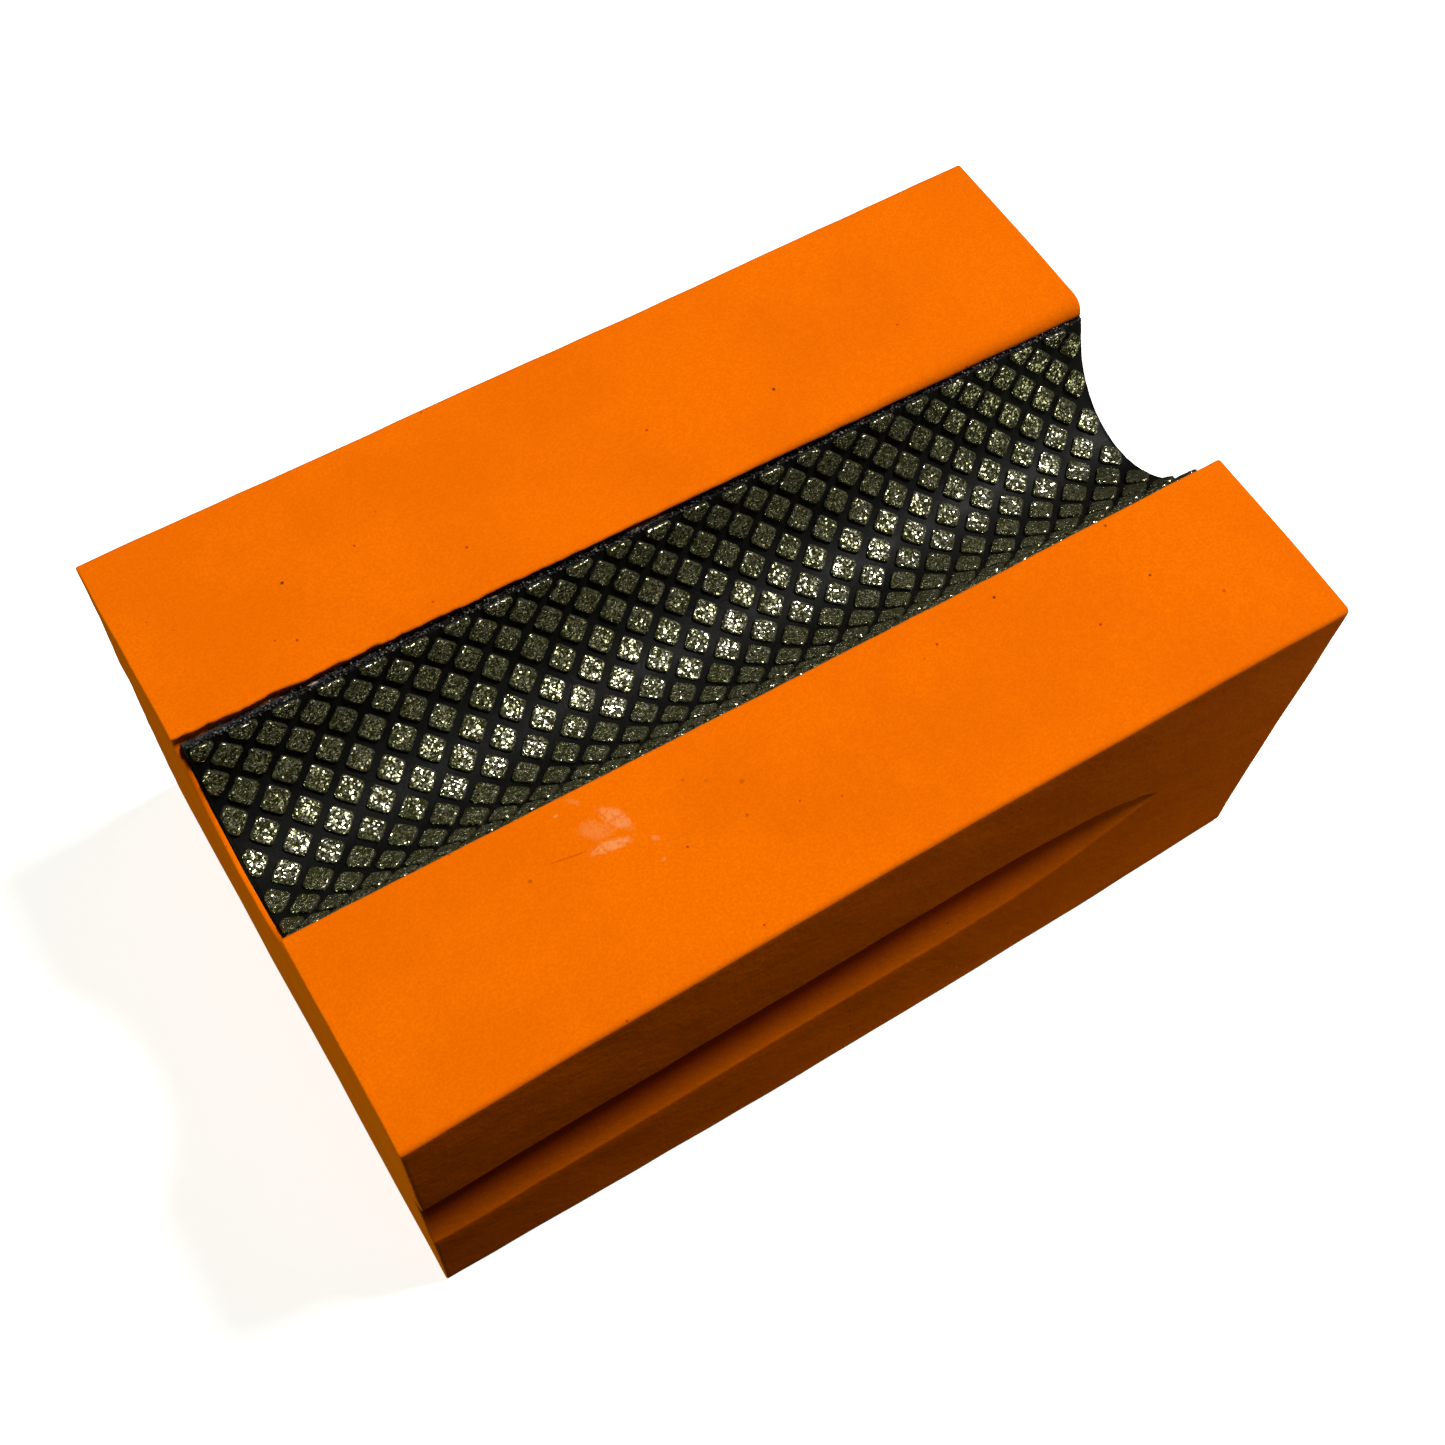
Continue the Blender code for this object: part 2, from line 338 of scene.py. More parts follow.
def foam_material():
    n = Nodes("eva_foam_orange")
    position = n.position()
    cloudy = n.noise(90.0, 3.0, 0.55, position).outputs["Fac"]
    mottle = n.noise(1400.0, 3.0, 0.65, position).outputs["Fac"]
    grain = n.noise(4200.0, 3.0, 0.7, position).outputs["Fac"]
    color = n.mix(n.ramp(cloudy, 0.35, 0.65), (0.93, 0.168, 0.0), (1.0, 0.188, 0.0))
    color = n.mix(n.ramp(mottle, 0.38, 0.62, 0.0, 0.14), color, (0.80, 0.128, 0.0))
    color = n.mix(n.ramp(grain, 0.34, 0.66, 0.0, 0.50), color, (0.78, 0.122, 0.0))
    # painted shade: the inside of the finger groove is darkened to a deep red, as if shaded under its upper
    # lip
    color = n.mix(n.times(painted_groove_shade(n, position), 0.86), color, (0.66, 0.035, 0.0))

    # sparse pores: tiny dark pits in the skin
    pores = n.cells(620.0, position)
    is_pore = n.ramp(pores.outputs["Distance"], 0.05, 0.11, 1.0, 0.0)
    few = n.ramp(n.split(pores.outputs["Color"])[0], 0.84, 0.92)
    pore = n.times(is_pore, few)
    color = n.mix(n.times(pore, 0.75), color, (0.35, 0.03, 0.0))

    # pale dust motes
    motes = n.cells(240.0, position)
    is_mote = n.ramp(motes.outputs["Distance"], 0.03, 0.07, 1.0, 0.0)
    few = n.ramp(n.split(motes.outputs["Color"])[1], 0.94, 0.96)
    mote = n.times(is_mote, few)
    color = n.mix(n.times(mote, 0.45), color, (0.95, 0.55, 0.30))

    for x, y, size, strength in DARK_SPOTS:
        near = mark_mask(n, position, x, y, size, size, 0)
        color = n.mix(n.times(near, strength), color, (0.05, 0.012, 0.0))
    scratched = mark_mask(n, position, *SCRATCH[:5])
    color = n.mix(n.times(scratched, SCRATCH[5]), color, (0.45, 0.05, 0.0))

    # pale scuffs on the front land, broken up into smudges
    smudges = n.noise(1500.0, 5.0, 0.7, position, 0.8).outputs["Fac"]
    scuff = 0.0
    for x, y, long, wide, degrees, strength in SCUFFS:
        inside = mark_mask(n, position, x, y, long, wide, degrees)
        torn = n.ramp(n.math("ADD", smudges, n.times(inside, 0.16)), 0.50, 0.68)
        patch = n.times(n.times(torn, inside), strength)
        scuff = n.math("MAXIMUM", scuff, patch)
    color = n.mix(scuff, color, (1.0, 0.44, 0.17))

    skin = n.noise(3600.0, 4.0, 0.6, position).outputs["Fac"]
    dimples = n.noise(1100.0, 2.0, 0.5, position).outputs["Fac"]
    relief = n.math("ADD", n.times(skin, 0.5), dimples)
    relief = n.math("SUBTRACT", relief, n.times(pore, 0.8))
    relief = n.math("ADD", relief, n.times(scuff, 1.2))
    relief = n.math("SUBTRACT", relief, n.times(scratched, 0.8))
    normal = n.bump(relief, 0.00006, 0.55)
    n.set(Base_Color=color, Roughness=n.ramp(mottle, 0.3, 0.7, 0.66, 0.84), Normal=normal)
    n.set(Specular_IOR_Level=0.12, Specular_Tint=(1.0, 0.30, 0.02))
    return n.material


def carrier_material():
    n = Nodes("black_carrier_resin")
    position = n.position()
    cloudy = n.noise(260.0, 3.0, 0.6, position).outputs["Fac"]
    fine = n.noise(2600.0, 4.0, 0.65, position).outputs["Fac"]
    color = n.mix(n.ramp(cloudy, 0.3, 0.7), (0.0015, 0.0015, 0.0016), (0.0045, 0.0043, 0.0042))
    normal = n.bump(n.math("ADD", fine, n.times(cloudy, 2.0)), 0.00005, 0.9)
    n.set(Base_Color=color, Roughness=n.ramp(cloudy, 0.3, 0.7, 0.50, 0.70), Normal=normal)
    n.set(Specular_IOR_Level=0.12)
    return n.material


def diamond_material():
    """Olive resin packed with grit: most grains are dull, many are bright facets that glint."""
    n = Nodes("diamond_grit_olive")
    position = n.position()
    grains = n.cells(6600.0, position)
    random_parts = n.split(grains.outputs["Color"])
    chance = random_parts[0]
    tint = random_parts[1]
    bright = n.ramp(chance, 0.46, 0.52)
    dull_color = n.mix(tint, (0.012, 0.011, 0.004), (0.050, 0.045, 0.015))
    cloudy = n.noise(500.0, 2.0, 0.5, position).outputs["Fac"]
    dull_color = n.mix(n.ramp(cloudy, 0.35, 0.65), dull_color, (0.030, 0.032, 0.008))
    glint_color = n.mix(tint, (0.44, 0.42, 0.35), (0.33, 0.33, 0.16))
    color = n.mix(bright, dull_color, glint_color)

    # every grain faces its own way: most lie nearly flat, a few stand up and sparkle on their own
    spread = n.vector("SUBTRACT", grains.outputs["Color"], (0.5, 0.5, 0.5))
    loose = n.cells(3300.0, position)
    steepness = n.ramp(n.split(loose.outputs["Color"])[2], 0.90, 0.93, 0.72, 1.5)
    tilt = n.add("ShaderNodeVectorMath", operation="SCALE")
    n.link(spread, tilt.inputs[0])
    n.link(steepness, tilt.inputs["Scale"])
    facing = n.add("ShaderNodeNewGeometry").outputs["Normal"]
    unit = n.add("ShaderNodeVectorMath", operation="NORMALIZE")
    n.link(n.vector("ADD", facing, tilt.outputs[0]), unit.inputs[0])
    n.set(Base_Color=color, Metallic=n.times(bright, 0.92), Normal=unit.outputs[0])
    n.set(Roughness=n.ramp(tint, 0.0, 1.0, 0.20, 0.32, "LINEAR"))
    n.set(Specular_IOR_Level=0.20)
    return n.material


def fleece_material():
    n = Nodes("black_fleece")
    position = n.position()
    tufts = n.noise(1900.0, 4.0, 0.7, position).outputs["Fac"]
    color = n.mix(n.ramp(tufts, 0.40, 0.66), (0.007, 0.007, 0.007), (0.050, 0.047, 0.048))
    normal = n.bump(tufts, 0.0003, 1.0)
    n.set(Base_Color=color, Roughness=n.ramp(tufts, 0.3, 0.7, 0.75, 0.95), Normal=normal)
    n.set(Specular_IOR_Level=0.25)
    n.set(Sheen_Weight=0.10)
    return n.material


def fibre_material():
    n = Nodes("black_fleece_fibres")
    island = n.add("ShaderNodeNewGeometry").outputs["Random Per Island"]
    along = n.noise(3000.0, 1.0, 0.5).outputs["Fac"]
    color = n.mix(n.ramp(island, 0.35, 1.0), (0.010, 0.010, 0.010), (0.30, 0.28, 0.27))
    color = n.mix(n.ramp(along, 0.3, 0.7, 0.0, 0.4), color, (0.02, 0.02, 0.02))
    n.set(Base_Color=color, Roughness=n.ramp(along, 0.3, 0.7, 0.38, 0.55))
    n.set(Specular_IOR_Level=0.5)
    return n.material


def glue_material():
    n = Nodes("contact_adhesive")
    position = n.position()
    cloudy = n.noise(900.0, 3.0, 0.6, position).outputs["Fac"]
    color = n.mix(n.ramp(cloudy, 0.35, 0.65), (0.30, 0.22, 0.13), (0.55, 0.47, 0.36))
    normal = n.bump(cloudy, 0.0001, 0.8)
    n.set(Base_Color=color, Roughness=n.ramp(cloudy, 0.3, 0.7, 0.10, 0.22), Normal=normal)
    n.set(Specular_IOR_Level=0.6)
    n.set(Coat_Weight=0.4)
    return n.material


def floor_material():
    n = Nodes("pale_floor")
    shade = n.noise(3.0, 2.0, 0.5).outputs["Fac"]
    color = n.mix(shade, (0.86, 0.86, 0.855), (0.88, 0.88, 0.875))
    n.set(Base_Color=color, Roughness=0.9)
    n.set(Emission_Color=color, Emission_Strength=0.95)
    return n.material


# ---------------- foam block

TOP_EDGE_RADIUS = 0.5
BASE_EDGE_RADIUS = 0.8
END_EDGE_RADIUS = 0.16
END_RINGS = 4
STATIONS = 205

# How many points each stretch of the block's outline has
BASE_POINTS = 24
LAND_POINTS = 44
SEAT_POINTS = 32
CORNER_POINTS = 6
BASE_CORNER_POINTS = 5
BACK_LIP_POINTS = 9
FRONT_WALL_POINTS = 5
BACK_WALL_POINTS = 6
LEDGE_POINTS = 4

# Finger groove in millimetres along X: the sharp upper lip, the soft lower edge, and its depth
GROOVE_END_X = 30.4
groove_top = curve_through((-45, 25.3), (-25, 25.5), (-5, 25.9), (10, 26.0), (20, 25.3), (25.5, 24.2),
                           (28.3, 22.7), (GROOVE_END_X, 21.2))
groove_bottom = curve_through((-45, 14.0), (-37, 13.7), (-25, 13.9), (-10, 14.4), (8, 14.6), (16, 15.2),
                              (21, 16.4), (25.5, 18.2), (GROOVE_END_X, 21.0))
groove_depth = curve_through((-45, 1.7), (-28, 1.8), (-5, 1.85), (14, 1.52), (21, 1.2), (25.5, 0.85),
                             (28.3, 0.45), (GROOVE_END_X, 0.0))
GROOVE_LEAST_DEPTH = 0.02
# where the groove is deepest, as a share of the way down from its lip, and how round its floor is
GROOVE_DEEPEST_SHARE = 0.14
FLOOR_ROUNDNESS = 0.75
LIP_SOFTNESS = 0.06
LOWER_SOFTNESS = 0.12
# the rows of points up a side spread over at least this height, even where the groove is narrower
LEAST_GROOVE_HEIGHT = 4.0

# Inner edges of the two lands, and how round they are
front_lip_y = curve_through((-45, -9.2), (0, -10.0), (30, -10.45), (45, -10.65))
back_lip_y = curve_through((-45, 10.25), (-20, 9.7), (0, 9.4), (25, 9.28), (45, 9.25))
back_lip_round = curve_through((-45, 0.22), (0, 0.35), (15, 0.6), (30, 1.1), (45, 1.6))
FRONT_LIP_ROUND = 0.35
LEDGE_RISE = 0.1


def channel_table(end):
    """(y, z, heading) every PROFILE_STEP along the profile at one end: -1 is the left end, +1 the right."""
    y = PROFILE_START[0] + START_SHIFT * end
    z = PROFILE_START[1]
    last = LAST_HEADING[0] if end < 0 else LAST_HEADING[1]
    table = []
    for i in range(int(PROFILE_RUN / PROFILE_STEP) + 2):
        run = i * PROFILE_STEP
        off = run - BEND_MIDDLE
        turned = BEND * (run - (off ** 3 + BEND_MIDDLE ** 3) / (3 * BEND_REACH ** 2))
        heading = START_HEADING + turned + end * (OPENING[0] + OPENING[1] * run)
        if run > BEND_MIDDLE + BEND_REACH:
            heading = last
        # ease the heading into its last value, without a kink
        over = (last - heading) / HEADING_EASE
        heading = last - HEADING_EASE * (math.log1p(math.exp(over)) if over < 30 else over)
        table.append((y, z, heading))
        y -= math.sin(heading) * PROFILE_STEP
        z -= math.cos(heading) * PROFILE_STEP
    return table


CHANNEL_LEFT = channel_table(-1)
CHANNEL_RIGHT = channel_table(1)


def channel_point(x, run, depth):
    """(y, z) of a point on the channel's profile, sunk into the foam by depth."""
    run = min(max(run, 0.0), PROFILE_RUN)
    place = run / PROFILE_STEP
    i = int(place)
    t = place - i
    share = 0.5 + 0.5 * x / HALF_LENGTH
    found = []
    for table in (CHANNEL_LEFT, CHANNEL_RIGHT):
        here = table[i]
        there = table[i + 1]
        found.append([a + (b - a) * t for a, b in zip(here, there)])
    y, z, heading = [a + (b - a) * share for a, b in zip(*found)]
    return y + depth * math.cos(heading), z - depth * math.sin(heading)


def seat_depth(x):
    """Depth of the foam under the sheet; at the left end a thin rim stands up beside the sheet's edge."""
    return RIM_DEPTH + (SEAT_DEPTH - RIM_DEPTH) * smooth(RIM_X - RIM_STEP, RIM_X + RIM_STEP, x)


def sheet_run(x, across):
    """Distance along the profile of a line of the sheet, at one place along the block."""
    return SHEET_BACK_EDGE + across + SHEET_SKEW * (x - SHEET_MID_X)


def groove_offset(x, z):
    """How deep the finger groove is at a height on the long side.

    It is deepest close under its upper lip, and its floor slopes out gently to the lower edge.
    """
    top = groove_top(x)
    bottom = groove_bottom(x)
    depth = groove_depth(x)
    if depth < GROOVE_LEAST_DEPTH or x > GROOVE_END_X or z > top + 0.5 or z < bottom - 1.0:
        return 0.0
    down = (top - z) / max(top - bottom, 0.3)
    if down < GROOVE_DEEPEST_SHARE:
        off = 1 - down / GROOVE_DEEPEST_SHARE
        reach = depth * (1 - off * abs(off))
        softness = LIP_SOFTNESS
    else:
        left = (1 - down) / (1 - GROOVE_DEEPEST_SHARE)
        reach = depth * (left ** FLOOR_ROUNDNESS if left > 0 else left)
        softness = LOWER_SOFTNESS
    softness *= smooth(0.0, 1.2, depth)
    return 0.5 * (reach + math.sqrt(reach * reach + softness * softness))


def side_heights(x):
    """Heights of the points up a long side, close together at the groove."""
    top = groove_top(x)
    bottom = groove_bottom(x)
    if top - bottom < LEAST_GROOVE_HEIGHT:
        middle = 0.5 * (top + bottom)
        top = middle + LEAST_GROOVE_HEIGHT / 2
        bottom = middle - LEAST_GROOVE_HEIGHT / 2
    # each stretch is (from, to, how many rows)
    marks = [
        (BASE_EDGE_RADIUS, bottom - 0.8, 14),
        (bottom - 0.8, bottom + 1.0, 9),
        (bottom + 1.0, top - 1.9, 20),
        (top - 1.9, top + 0.4, 21),
        (top + 0.4, HEIGHT - TOP_EDGE_RADIUS, 24),
    ]
    heights = []
    for low, high, count in marks:
        heights += [low + (high - low) * i / count for i in range(count)]
    heights.append(HEIGHT - TOP_EDGE_RADIUS)
    return heights


def side_lean(x, z, side):
    """How far a long side stands out from the nominal plane."""
    middle = 1 - (x / HALF_LENGTH) ** 2
    up = z / HEIGHT
    if side < 0:
        out = (0.30 + 0.60 * middle) * (1 - up) ** 4 - 0.40 * middle * up ** 3
    else:
        out = 0.42 + 0.10 * middle * math.sin(math.pi * up)
    out += 0.10 * ripple(3 + side, x, 0, z, 14) + 0.04 * ripple(7 + side, x, 0, z, 4)
    return out


def long_side(x, side):
    """(y, z) points up the front (-1) or back (+1) side."""
    points = []
    for z in side_heights(x):
        y = HALF_WIDTH + side_lean(x, z, side) - groove_offset(x, z + 0.06 * ripple(21, x, 0, 0, 1.2))
        points.append((side * y, z))
    return points


def land_height(x, y):
    """Height of the top surface: nearly flat, softly crowned towards the right end."""
    crown = 0.16 * smooth(10, 44, x)
    return HEIGHT + crown + 0.05 * ripple(11, x, y, 0, 16) + 0.015 * ripple(12, x, y, 0, 3)


def arc_points(y, z, radius, start, end, count):
    """Points on an arc, leaving out the last one; angles in degrees from +Y towards +Z."""
    points = []
    for i in range(count):
        angle = math.radians(start + (end - start) * i / count)
        points.append((y + radius * math.cos(angle), z + radius * math.sin(angle)))
    return points


def line_points(start, end, count):
    """Points on a straight line between two (y, z) points, leaving out the last one."""
    points = []
    for i in range(count):
        t = i / count
        points.append((start[0] + (end[0] - start[0]) * t, start[1] + (end[1] - start[1]) * t))
    return points


def land_points(x, start_y, end_y):
    """Points along one of the two top lands, leaving out the last one."""
    points = []
    for i in range(LAND_POINTS):
        y = start_y + (end_y - start_y) * i / LAND_POINTS
        points.append((y, land_height(x, y)))
    return points


def base_points(x):
    """The flat base from the back to the front, and the round edge under the front side."""
    inner = HALF_WIDTH - BASE_EDGE_RADIUS
    back_foot = inner + side_lean(x, 0, 1)
    base_width = 2 * inner + side_lean(x, 0, 1) + side_lean(x, 0, -1)
    points = []
    for i in range(BASE_POINTS):
        points.append((back_foot - base_width * i / BASE_POINTS, 0.0))
    front_foot = -inner - side_lean(x, 0, -1)
    return points + arc_points(front_foot, BASE_EDGE_RADIUS, BASE_EDGE_RADIUS, 270, 180, BASE_CORNER_POINTS)


def front_top_points(x, front_top, seat_edge):
    """The front top edge, the land, its lip and wall, and the ledge beside the sheet's edge."""
    corner_y = front_top[0] + TOP_EDGE_RADIUS
    corner_z = land_height(x, corner_y) - TOP_EDGE_RADIUS
    points = arc_points(corner_y, corner_z, TOP_EDGE_RADIUS, 180, 90, CORNER_POINTS)[1:]
    lip = front_lip_y(x) + 0.05 * ripple(31, x, 0, 0, 3) + 0.02 * ripple(32, x, 0, 0, 0.9)
    land_end = lip - FRONT_LIP_ROUND
    points += land_points(x, corner_y, land_end)
    lip_z = land_height(x, land_end) - FRONT_LIP_ROUND
    points += arc_points(land_end, lip_z, FRONT_LIP_ROUND, 90, 0, CORNER_POINTS)
    # the wall leans back under the lip, and meets the ledge at its root
    seat_y, seat_z = seat_edge
    root = (min(lip - 0.10, seat_y - 0.05), min(lip_z - 0.1, seat_z + 0.15))
    points += line_points((lip, lip_z), root, FRONT_WALL_POINTS)
    return points + line_points(root, seat_edge, LEDGE_POINTS)


def seat_points(x, front_run, back_run):
    """The round seat under the sheet, from the front to the back."""
    depth = seat_depth(x)
    points = []
    for i in range(SEAT_POINTS):
        t = i / SEAT_POINTS
        eased = SEAT_DEPTH + (depth - SEAT_DEPTH) * smooth(0.0, 0.08, min(t, 1 - t))
        points.append(channel_point(x, front_run + (back_run - front_run) * t, eased))
    return points


def back_top_points(x, back_top, seat_edge):
    """The ledge beside the sheet's edge, the torn back wall and lip, the land and the back top edge."""
    ragged = smooth(5, -35, x)
    rough = 0.08 + 0.22 * ragged
    lip = back_lip_y(x) + rough * (0.6 * ripple(33, x, 0, 0, 2.2) + 0.6 * ripple(34, x, 0, 0, 0.8))
    lip_round = back_lip_round(x)
    seat_y, seat_z = seat_edge
    land_start = lip + lip_round
    lip_z = max(land_height(x, land_start) - lip_round, seat_z + 0.35)
    drop = land_height(x, land_start) - lip_z
    root = max(lip + 0.15, seat_y + 0.05)
    root += 0.10 * ragged * ripple(36, x, 0, 0, 1.3)
    points = []
    for i in range(LEDGE_POINTS):
        t = i / LEDGE_POINTS
        points.append((seat_y + (root - seat_y) * t, seat_z + LEDGE_RISE * t))
    for i in range(BACK_WALL_POINTS):
        t = i / BACK_WALL_POINTS
        z = seat_z + LEDGE_RISE + (lip_z - seat_z - LEDGE_RISE) * t
        points.append((root + (lip - root) * t, z))
    for i in range(BACK_LIP_POINTS):
        angle = math.radians(180 - 90 * i / BACK_LIP_POINTS)
        points.append((land_start + lip_round * math.cos(angle), lip_z + drop * math.sin(angle)))
    corner_y = back_top[0] - TOP_EDGE_RADIUS
    points += land_points(x, land_start, corner_y)
    corner_z = land_height(x, corner_y) - TOP_EDGE_RADIUS
    return points + arc_points(corner_y, corner_z, TOP_EDGE_RADIUS, 90, 0, CORNER_POINTS)


def foam_section(x):
    """The block's (y, z) outline at one place along it, always with the same number of points."""
    front = long_side(x, -1)
    back = long_side(x, 1)
    back_run = sheet_run(x, -SEAT_MARGIN)
    front_run = sheet_run(x, SHEET_WIDTH + SEAT_MARGIN)
    points = base_points(x) + front
    points += front_top_points(x, front[-1], channel_point(x, front_run, SEAT_DEPTH))
    points += seat_points(x, front_run, back_run)
    points += back_top_points(x, back[-1], channel_point(x, back_run, SEAT_DEPTH))
    points += back[::-1]
    back_foot = HALF_WIDTH - BASE_EDGE_RADIUS + side_lean(x, 0, 1)
    foot = arc_points(back_foot, BASE_EDGE_RADIUS, BASE_EDGE_RADIUS, 0, -90, BASE_CORNER_POINTS)
    return points + foot[1:]


# The right end face swells outward, and the left one is flat and a touch short
RIGHT_END_BULGE = 0.60
LEFT_END_BULGE = -0.05


def end_bulge(y, z, side):
    """How far an end face stands out from its nominal plane."""
    across = y / HALF_WIDTH
    up = z / HEIGHT
    if side > 0:
        belly = math.sin(math.pi * min(1.0, 0.12 + 0.80 * up))
        out = RIGHT_END_BULGE * (1 - 0.6 * across ** 4) * (0.35 + 0.65 * belly)
    else:
        out = LEFT_END_BULGE
    return out + 0.10 * ripple(41 + side, 0, y, z, 13) + 0.04 * ripple(44 + side, 0, y, z, 3.5)


def inset(points, amount):
    """Move an outline's points inward, along the mean normal of the two edges that meet there."""
    if amount <= 0:
        return points
    flat = np.array(points)
    ahead = np.roll(flat, -1, axis=0) - flat
    behind = flat - np.roll(flat, 1, axis=0)
    direction = ahead / np.maximum(np.linalg.norm(ahead, axis=1, keepdims=True), 1e-9)
    direction += behind / np.maximum(np.linalg.norm(behind, axis=1, keepdims=True), 1e-9)
    direction /= np.maximum(np.linalg.norm(direction, axis=1, keepdims=True), 1e-9)
    inward = np.stack([direction[:, 1], -direction[:, 0]], axis=1)
    return [tuple(p) for p in flat + inward * amount]


def build_foam(material):
    """The block as a loft of sections, with rounded end edges and faces filled over a fine net."""
    bm = bmesh.new()
    places = []
    for ring in range(END_RINGS):
        angle = 0.5 * math.pi * ring / END_RINGS
        places.append((END_EDGE_RADIUS * (1 - math.sin(angle)), END_EDGE_RADIUS * (1 - math.cos(angle))))
    # each place is (inset of the outline, distance in from the end plane)
    stations = [(-HALF_LENGTH + deep, shrink) for shrink, deep in places]
    inner_length = HALF_LENGTH - END_EDGE_RADIUS
    stations += [(-inner_length + 2 * inner_length * i / STATIONS, 0.0) for i in range(STATIONS + 1)]
    stations += [(HALF_LENGTH - deep, shrink) for shrink, deep in reversed(places)]
    stations += [(RIM_X - RIM_STEP, 0.0), (RIM_X + RIM_STEP, 0.0)]
    stations.sort(key=lambda station: station[0])
    rings = []
    for x, shrink in stations:
        section = inset(foam_section(max(-HALF_LENGTH, min(HALF_LENGTH, x))), shrink)
        share = 0.5 + 0.5 * x / HALF_LENGTH
        ring = []
        for y, z in section:
            z = max(z, 0.0)
            moved = x + end_bulge(y, z, 1) * share ** 6 - end_bulge(y, z, -1) * (1 - share) ** 6
            ring.append(bm.verts.new((moved, y, z)))
        rings.append(ring)
    count = len(rings[0])
    for first, second in zip(rings, rings[1:]):
        for i in range(count):
            j = (i + 1) % count
            bm.faces.new((first[i], first[j], second[j], second[i]))
    fill_end(bm, rings[0], -1)
    fill_end(bm, rings[-1], 1)
    return make_object("foam_body", bm, material)


# The net of points on an end face keeps clear of its outline and of the channel
NET_STEP = 1.15
NET_EDGE = END_EDGE_RADIUS + 0.7
CHANNEL_REACH = 12.6


def fill_end(bm, ring, side):
    """Close an end with small triangles, roughened like sawn foam."""
    outline = [Vector((v.co.y, v.co.z)) for v in ring]
    points = list(outline)
    rows = int(HEIGHT / NET_STEP)
    columns = int(2 * HALF_WIDTH / NET_STEP)
    for row in range(1, rows):
        for column in range(1, columns):
            y = -HALF_WIDTH + NET_STEP * (column + 0.5 * (row % 2))
            z = NET_STEP * row
            if z > HEIGHT - NET_EDGE or z < NET_EDGE or abs(y) > HALF_WIDTH - NET_EDGE:
                continue
            if math.hypot(y - CHANNEL_Y, z - HEIGHT) < CHANNEL_REACH:
                continue
            reach = HALF_WIDTH - groove_offset(side * HALF_LENGTH, z)
            if abs(y) > reach - NET_EDGE:
                continue
            points.append(Vector((y, z)))
    result = delaunay_2d_cdt(points, [], [list(range(len(outline)))], 0, 1e-5, True)
    places = result[0]
    triangles = result[2]
    origins = result[3]
    made = []
    for index, point in enumerate(places):
        sources = [source for source in origins[index] if source < len(outline)]
        if sources:
            made.append(ring[sources[0]])
            continue
        y, z = point
        end_x = side * (HALF_LENGTH + end_bulge(y, z, side))
        end_x += side * 0.035 * ripple(51 + side, 0, y, z, 1.1)
        made.append(bm.verts.new((end_x, y, z)))
    for face in triangles:
        corners = [made[i] for i in face]
        middle = sum((places[i] for i in face), Vector((0.0, 0.0))) / len(face)
        if len(set(corners)) == len(corners) and is_inside(middle, outline):
            bm.faces.new(corners)
    for vert in [v for v in made if not v.link_faces]:
        bm.verts.remove(vert)


def is_inside(point, outline):
    """Whether a point lies inside an outline, by counting the edges crossed going sideways."""
    inside = False
    for here, there in zip(outline, outline[1:] + outline[:1]):
        if (here.y > point.y) != (there.y > point.y):
            crossing = here.x + (there.x - here.x) * (point.y - here.y) / (there.y - here.y)
            if crossing > point.x:
                inside = not inside
    return inside


# ---------------- the glued-in sheet

def sheet_point(along_x, across, depth):
    """A point of the sheet: along its length, across from its back edge, and how deep below the dots."""
    off_x = along_x - SHEET_LENGTH / 2
    off_across = across - SHEET_WIDTH / 2
    turn_cos = math.cos(SHEET_SKEW)
    turn_sin = math.sin(SHEET_SKEW)
    x = SHEET_MID_X + off_x * turn_cos - off_across * turn_sin
    run = SHEET_BACK_EDGE + SHEET_WIDTH / 2 + off_x * turn_sin + off_across * turn_cos
    y, z = channel_point(x, run, depth + 0.06 * ripple(61, x, run, 0, 22))
    return Vector((x, y, z))


def sheet_layer(name, inner, outer, columns, rows, inset_edge, roughness, material, bumps=0.0):
    """A closed layer of the sheet between two depths, with slightly uneven cut edges.

    It is cut inset_edge short of the sheet's edges, and its edges waver by roughness.
    """
    bm = bmesh.new()
    grids = []
    for depth in (inner, outer):
        grid = []
        for i in range(columns + 1):
            line = []
            for j in range(rows + 1):
                along = inset_edge + (SHEET_LENGTH - 2 * inset_edge) * i / columns
                across = inset_edge + (SHEET_WIDTH - 2 * inset_edge) * j / rows
                if i in (0, columns):
                    along += roughness * ripple(71, i, across, depth, 0.7)
                if j in (0, rows):
                    across += roughness * ripple(72, along, j, depth, 0.7)
                lift = bumps * ripple(73, along, across, 0, 1.3)
                line.append(bm.verts.new(sheet_point(along, across, depth + lift)))
            grid.append(line)
        grids.append(grid)
    for grid in grids:
        for i in range(columns):
            for j in range(rows):
                bm.faces.new((grid[i][j], grid[i + 1][j], grid[i + 1][j + 1], grid[i][j + 1]))
    rim = [(i, 0) for i in range(columns)] + [(columns, j) for j in range(rows)]
    rim += [(i, rows) for i in range(columns, 0, -1)] + [(0, j) for j in range(rows, 0, -1)]
    for (i, j), (k, m) in zip(rim, rim[1:] + rim[:1]):
        bm.faces.new((grids[0][i][j], grids[0][k][m], grids[1][k][m], grids[1][i][j]))
    return make_object(name, bm, material)


